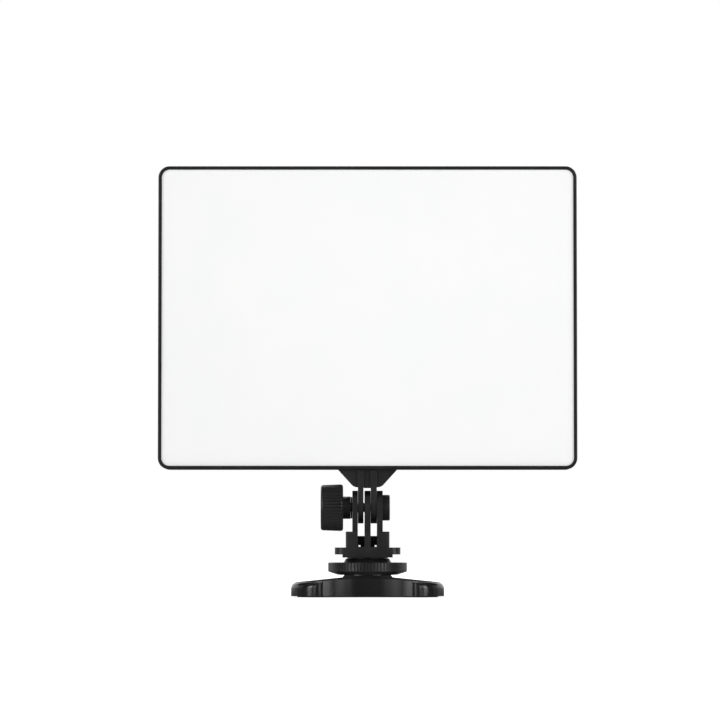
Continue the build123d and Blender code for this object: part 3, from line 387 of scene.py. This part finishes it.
def printed_white():
    """White pad print on the keys."""
    finish = Finish("pad_print")
    finish.colour(finish.blend(finish.noise(0.8), (0.68, 0.68, 0.67), (0.8, 0.8, 0.79)))
    finish.roughness(finish.noise(0.5), 0.4, 0.55)
    finish.relief(finish.noise(0.15), depth_mm=0.004)
    return finish


def display_lit():
    """Lit display segments, unevenly bright from cell to cell."""
    finish = Finish("lit_segments", Roughness=0.4, Emission_Strength=1.6)
    cells = finish.spread(finish.cells(1.6), 0, 1, start=0.1, end=0.8)
    finish.colour(finish.blend(cells, (0.55, 0.85, 1.0), (0.35, 0.65, 0.9)), "Emission Color")
    finish.colour(finish.blend(cells, (0.7, 0.85, 0.95), (0.5, 0.7, 0.85)))
    return finish


SLOT_FINISHES = (
    shell_gloss, mount_nylon, bezel_black, cover_black, black_matte, rubber_black, opal_diffuser,
    clear_acrylic, white_film, led_phosphor, circuit_board, chip_black, plate_aluminium, steel_zinc,
    black_screw, brass_turned, display_glass, key_grey, catch_red,
)
finishes = {make.__name__: make().material for make in SLOT_FINISHES}


# ---------------------------------------------------------------- the CAD pieces carried over

# Width in millimetres of the rounding that the mould leaves on the edges of each piece
EDGE_ROUNDS = {
    "base_shell": 0.5,
    "prong_mount": 0.28,
    "yoke_bracket": 0.25,
    "shoe_foot": 0.15,
    "shoe_socket": 0.2,
    "battery_plate": 0.22,
    "battery_catch": 0.3,
    "captive_nut": 0.2,
    "lock_wheel": 0.12,
    "heat_plate": 0.1,
}
WELD_MM = 0.001
FLAT_ANGLE = 1.0                 # degrees under which neighbouring faces are merged
SHARP_ANGLE = 38                 # degrees over which an edge is rounded
ROUND_SEGMENTS = 2


def dress(thing):
    """Gives a CAD node its finish in place of the plain one it came with."""
    for socket in thing.material_slots:
        socket.material = finishes[socket.material.name]


def round_edges(thing, width_mm):
    """Small rounds on the sharp edges, so that they catch the light as moulded edges do."""
    weld = thing.modifiers.new("weld", "WELD")
    weld.merge_threshold = WELD_MM * MM
    merge = thing.modifiers.new("merge_flats", "DECIMATE")
    merge.decimate_type = "DISSOLVE"
    merge.angle_limit = math.radians(FLAT_ANGLE)
    bevel = thing.modifiers.new("edge_round", "BEVEL")
    bevel.width = width_mm * MM
    bevel.segments = ROUND_SEGMENTS
    bevel.limit_method = "ANGLE"
    bevel.angle_limit = math.radians(SHARP_ANGLE)
    bevel.use_clamp_overlap = True
    shade = thing.modifiers.new("flat_faces", "WEIGHTED_NORMAL")
    shade.keep_sharp = True


for node_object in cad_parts.values():
    dress(node_object)
for node_name, width in EDGE_ROUNDS.items():
    round_edges(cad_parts[node_name], width)


# ---------------------------------------------------------------- mesh tools

def add_object(name, data):
    thing = bpy.data.objects.new(name, data)
    bpy.context.scene.collection.objects.link(thing)
    return thing


def built_mesh(name, build):
    """Turns a finished bmesh into a mesh and frees it."""
    mesh = bpy.data.meshes.new(name)
    build.to_mesh(mesh)
    build.free()
    return mesh


def new_piece(name, mesh, material, body):
    """A finished piece that rides on a body and takes the finish that is passed to it."""
    thing = add_object(name, mesh)
    mesh.materials.append(material)
    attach(thing, body)
    return thing


def stroke(points, width, cap_steps=6):
    """Closed outline of a round-ended stroke along a flat polyline."""
    path = [Vector(point) for point in points]
    outline = []
    for run in (path, path[::-1]):
        for index, point in enumerate(run[:-1]):
            ahead = (run[index + 1] - point).normalized()
            behind = (point - run[index - 1]).normalized() if index else ahead
            along = (ahead + behind).normalized()
            outline.append(point + Vector((-along.y, along.x)) * width / 2)
        along = (run[-1] - run[-2]).normalized()
        left = math.atan2(along.x, -along.y)
        for step in range(cap_steps + 1):
            angle = left - math.pi * step / cap_steps
            outline.append(run[-1] + Vector((math.cos(angle), math.sin(angle))) * width / 2)
    return outline


def arc(radius, start, end, steps=24):
    """Points on an arc about the origin, angles in degrees from +X."""
    angles = [math.radians(start + (end - start) * step / steps) for step in range(steps + 1)]
    return [(radius * math.cos(angle), radius * math.sin(angle)) for angle in angles]


def wall(build, first, second):
    """Closed band of faces between two rings with the same number of vertices."""
    count = len(first)
    for index in range(count):
        after = (index + 1) % count
        build.faces.new((first[index], first[after], second[after], second[index]))


def plates(name, outlines, centre_mm, y_low, y_high):
    """Flat plates standing off the rear: each outline, in millimetres about centre, is (x, z)."""
    build = bmesh.new()
    for outline in outlines:
        rows = []
        for y in (y_low, y_high):
            points = [((centre_mm[0] + x) * MM, y, (centre_mm[1] + z) * MM) for x, z in outline]
            rows.append([build.verts.new(point) for point in points])
        wall(build, *rows)
        for row in rows:
            build.faces.new(row)
    bmesh.ops.recalc_face_normals(build, faces=build.faces)
    return built_mesh(name, build)


# ---------------------------------------------------------------- display

DIGIT_W = 4.4
DIGIT_H = 8.0
DIGIT_STEP = 6.2
DIGIT_RISE = 1.6                 # height of the figures above the middle of the display
SEGMENT_T = 1.0
SEGMENT_GAP = 0.18
SEGMENTS_OF = {"0": "abcdef", "1": "bc"}     # a is the top bar, then clockwise
READOUT = "100"
LEVEL_CELLS = 4
LEVEL_STEP = 2.6
LEVEL_HALF = 0.6                 # half length of a cell of the level bar
LEVEL_Z = -5.8
LEVEL_T = 0.9
LIT_FROM, LIT_TO = 0.05, 0.25    # depth of the lit layer over the display module


def segment_bar(start, end):
    """Six-sided bar between two corners of the digit's frame."""
    start, end = Vector(start), Vector(end)
    along = (end - start).normalized()
    side = Vector((-along.y, along.x)) * SEGMENT_T / 2
    tip = along * SEGMENT_T / 2
    start, end = start + along * SEGMENT_GAP, end - along * SEGMENT_GAP
    return [start, start + tip + side, end - tip + side, end, end - tip - side, start + tip - side]


def digit_bars(figure, middle_x):
    """Bars of one figure. Seen from the rear +X is on the left, so x is mirrored."""
    half_w, half_h = DIGIT_W / 2, DIGIT_H / 2
    corner = {
        "top_left": (-half_w, half_h), "top_right": (half_w, half_h),
        "mid_left": (-half_w, 0), "mid_right": (half_w, 0),
        "low_left": (-half_w, -half_h), "low_right": (half_w, -half_h),
    }
    bars = {
        "a": ("top_left", "top_right"), "b": ("top_right", "mid_right"),
        "c": ("mid_right", "low_right"), "d": ("low_left", "low_right"),
        "e": ("mid_left", "low_left"), "f": ("top_left", "mid_left"),
    }
    for letter in SEGMENTS_OF[figure]:
        outline = segment_bar(*(corner[name] for name in bars[letter]))
        yield [(middle_x - x, z) for x, z in outline]


def display_segments():
    """Readout and level bar between the display module and its window."""
    outlines = []
    for place, figure in enumerate(READOUT):
        middle_x = DIGIT_STEP * ((len(READOUT) - 1) / 2 - place)
        for bar in digit_bars(figure, middle_x):
            outlines.append([(x, z + DIGIT_RISE) for x, z in bar])
    for cell in range(LEVEL_CELLS):
        x = LEVEL_STEP * (cell - (LEVEL_CELLS - 1) / 2)
        outlines.append(stroke([(x - LEVEL_HALF, LEVEL_Z), (x + LEVEL_HALF, LEVEL_Z)], LEVEL_T))
    module_low, module_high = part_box("display_module")
    middle = (module_low + module_high) / 2 / MM
    bottom, top = module_high.y + LIT_FROM * MM, module_high.y + LIT_TO * MM
    mesh = plates("display_segments", outlines, (middle.x, middle.z), bottom, top)
    new_piece("display_segments", mesh, display_lit().material, "lamp_head")


display_segments()


# ---------------------------------------------------------------- key symbols

MARK = 1.6                       # half size of a symbol
MARK_LINE = 0.55
MARK_PROUD = 0.12
MARK_SUNK = 0.05
POWER_ARC = (125, 415)           # degrees, open at the top
POWER_RISE = 0.5                 # height of the power symbol's stem above the ring's middle
MODE_ARC = (0, 352)
MODE_STEPS = 40
DOT_HALF = 0.01
DOT_WIDTH = 1.4


def key_marks():
    """A raised, white-printed symbol on each key. Each rides on its own key."""
    cross_bar = stroke([(-MARK, 0), (MARK, 0)], MARK_LINE)
    power_stem = stroke([(0, POWER_RISE), (0, MARK + POWER_RISE)], MARK_LINE)
    symbols = {
        "minus": [cross_bar],
        "plus": [cross_bar, stroke([(0, -MARK), (0, MARK)], MARK_LINE)],
        "power": [stroke(arc(MARK, *POWER_ARC), MARK_LINE), power_stem],
        "mode": [stroke(arc(MARK, *MODE_ARC, MODE_STEPS), MARK_LINE),
                 stroke([(-DOT_HALF, 0), (DOT_HALF, 0)], DOT_WIDTH)],
    }
    white = printed_white().material
    for key, outlines in symbols.items():
        low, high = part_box(f"{key}_button")
        middle = (low + high) / 2 / MM
        bottom, top = high.y - MARK_SUNK * MM, high.y + MARK_PROUD * MM
        mesh = plates(f"{key}_mark", outlines, (middle.x, middle.z), bottom, top)
        new_piece(f"{key}_mark", mesh, white, f"{key}_button")


key_marks()


# ---------------------------------------------------------------- threads

RING_STEPS = 40
STEPS_PER_PITCH = 8
THREAD_DEPTH = 0.6               # of the pitch
FLANK_SLOPE = 1.25               # over 1, so that the root has a flat
END_TAPER = 0.35                 # of the radius, taken off at the very end


def thread_ring(along, to_end, crest, pitch):
    """Fractions of a turn and radii round one section. to_end is 1 where the rounded end is over."""
    taper = 1 - END_TAPER * (1 - min(to_end, 1)) ** 2
    for step in range(RING_STEPS):
        turn = step / RING_STEPS
        phase = (along / pitch - turn) % 1
        flank = min(abs(2 * phase - 1) * FLANK_SLOPE, 1)
        yield turn, min(crest - THREAD_DEPTH * pitch * flank, crest * taper)


def thread_rings(build, node, axis, pitch, end_round):
    """Rings of vertices from one end of a plain CAD rod to the other, along its axis."""
    low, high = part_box(node)
    start, end = low[axis], high[axis]
    middle = (low + high) / 2
    side, up = [index for index in range(3) if index != axis]
    crest = (high[side] - low[side]) / 2
    count = int((end - start) / pitch * STEPS_PER_PITCH)
    for row in range(count + 1):
        along = start + (end - start) * row / count
        to_end = min(along - start, end - along) / end_round
        ring = []
        for turn, radius in thread_ring(along, to_end, crest, pitch):
            point = Vector((0, 0, 0))
            point[axis] = along
            point[side] = middle[side] + radius * math.cos(math.tau * turn)
            point[up] = middle[up] + radius * math.sin(math.tau * turn)
            ring.append(build.verts.new(point))
        yield ring


def threaded_rod(name, node, axis, pitch_mm, end_round_mm, body):
    """Screw with a real helical thread and rounded ends, in the place of a plain CAD rod."""
    build = bmesh.new()
    rings = list(thread_rings(build, node, axis, pitch_mm * MM, end_round_mm * MM))
    for lower, upper in zip(rings, rings[1:]):
        wall(build, lower, upper)
    build.faces.new(rings[0])
    build.faces.new(rings[-1])
    bmesh.ops.recalc_face_normals(build, faces=build.faces)
    for face in build.faces:
        face.smooth = len(face.verts) == 4
    rod = new_piece(name, built_mesh(name, build), finishes["steel_zinc"], body)
    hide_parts(node)


X_AXIS, Z_AXIS = 0, 2
threaded_rod("threaded_thumb_bolt", "thumb_bolt", X_AXIS, 0.8, 1.0, "thumb_screw")
threaded_rod("threaded_lock_stud", "lock_stud", Z_AXIS, 1.27, 1.2, "shoe_adapter")


# ---------------------------------------------------------------- stage

FLOOR_HALF = 30.0
FLOOR_FADE = (0.3, 1.2)      # metres from the object over which the floor turns into the surround
FLOOR_GLOW = 0.72
FLOOR_ROUGHNESS = 0.6
FLOOR_MOTTLE_MM = 900
ROOM_LIGHT = 0.035


def studio_floor():
    """Wide white floor at the level of the foot pad, fading into the white surround."""
    size = FLOOR_HALF
    mesh = bpy.data.meshes.new("floor")
    z = cad_box[0].z
    corners = [(-size, -size, z), (size, -size, z), (size, size, z), (-size, size, z)]
    mesh.from_pydata(corners, [], [(0, 1, 2, 3)])
    floor = add_object("floor", mesh)
    finish = Finish("studio_floor", Roughness=FLOOR_ROUGHNESS, Emission_Strength=1.0)
    finish.colour(finish.blend(finish.noise(FLOOR_MOTTLE_MM), (0.84,) * 3, (0.87,) * 3))
    reach = finish.add("ShaderNodeVectorMath", operation="LENGTH")
    finish.link(finish.place, reach.inputs[0])
    fade = finish.spread(reach.outputs["Value"], 0, 1, *FLOOR_FADE)
    finish.colour(finish.blend(fade, (FLOOR_GLOW,) * 3, (1, 1, 1)), "Emission Color")
    mesh.materials.append(finish.material)
    floor.visible_glossy = False
    floor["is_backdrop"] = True


def surround():
    """White to the camera; for lighting, a dim even room."""
    world = bpy.data.worlds.new("studio")
    bpy.context.scene.world = world
    world.use_nodes = True
    nodes, links = world.node_tree.nodes, world.node_tree.links
    seen = nodes["Background"]
    seen.inputs["Color"].default_value = (1, 1, 1, 1)
    room = nodes.new("ShaderNodeBackground")
    room.inputs["Color"].default_value = (1, 1, 1, 1)
    room.inputs["Strength"].default_value = ROOM_LIGHT
    path = nodes.new("ShaderNodeLightPath")
    mix = nodes.new("ShaderNodeMixShader")
    links.new(path.outputs["Is Camera Ray"], mix.inputs["Fac"])
    links.new(room.outputs["Background"], mix.inputs[1])
    links.new(seen.outputs["Background"], mix.inputs[2])
    links.new(mix.outputs["Shader"], nodes["World Output"].inputs["Surface"])


# ---------------------------------------------------------------- light

SOFTBOX_DISTANCE = 1.6
# Softboxes standing round the object, in mirrored pairs: name, first and last azimuth in degrees
# from the camera's side, foot and top in metres, brightness
SOFTBOXES = (
    ("fill", 19, 28, 0.0, 1.1, 1.2),
    ("fill_side", 28, 36.5, 0.0, 1.1, 2.7),
    ("key", 43.5, 58, 0.0, 1.1, 5.4),
    ("side", 84, 106, 0.0, 1.1, 0.45),
    ("rear", 106, 176, 0.0, 1.0, 1.1),
)
# Square lights hung over the object: name, place, width in metres, brightness
HUNG_LIGHTS = (
    ("overhead", (0, 0, 1.7), 1.6, 0.2),
    ("high_rear", (0, 1.05, 1.25), 0.5, 4.0),
)


def area_light(name, position, target, width, height, brightness):
    """Rectangular softbox. Brightness is the radiance of its face."""
    data = bpy.data.lights.new(name, "AREA")
    data.shape = "RECTANGLE"
    data.size = width
    data.size_y = height
    data.energy = brightness * math.pi * width * height
    light = add_object(name, data)
    light.location = position
    light.rotation_euler = (target - position).to_track_quat("-Z", "Y").to_euler()


def studio_lights():
    for name, first, last, foot, top, brightness in SOFTBOXES:
        width = 2 * SOFTBOX_DISTANCE * math.tan(math.radians(last - first) / 2)
        z = (foot + top) / 2
        for side in (-1, 1):
            angle = side * math.radians(first + last) / 2
            x, y = SOFTBOX_DISTANCE * math.sin(angle), -SOFTBOX_DISTANCE * math.cos(angle)
            position, target = Vector((x, y, z)), Vector((0, 0, z))
            area_light(f"{name}_{side}", position, target, width, top - foot, brightness)
    middle = (cad_box[0] + cad_box[1]) / 2
    for name, place, width, brightness in HUNG_LIGHTS:
        area_light(name, Vector(place), middle, width, width, brightness)


# ---------------------------------------------------------------- camera

VIEW_X = -3.65 * MM
CAMERA_DISTANCE = 1.905
CAMERA_Z = 25 * MM
AIM_Z = 114.5 * MM
LENS = 197.0
CLIP_START, CLIP_END = 0.05, 60


def front_camera():
    data = bpy.data.cameras.new("front_camera")
    data.lens = LENS
    data.clip_start = CLIP_START
    data.clip_end = CLIP_END
    camera = add_object("front_camera", data)
    camera.location = (VIEW_X, -CAMERA_DISTANCE, CAMERA_Z)
    aim = Vector((VIEW_X, 0, AIM_Z))
    camera.rotation_euler = (aim - camera.location).to_track_quat("-Z", "Y").to_euler()
    bpy.context.scene.camera = camera


studio_floor()
surround()
studio_lights()
front_camera()
bpy.context.scene.view_settings.view_transform = "Standard"

boxes = {"cad": cad_box, "visual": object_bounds()}
{name: [list(corner) for corner in box] for name, box in boxes.items()}
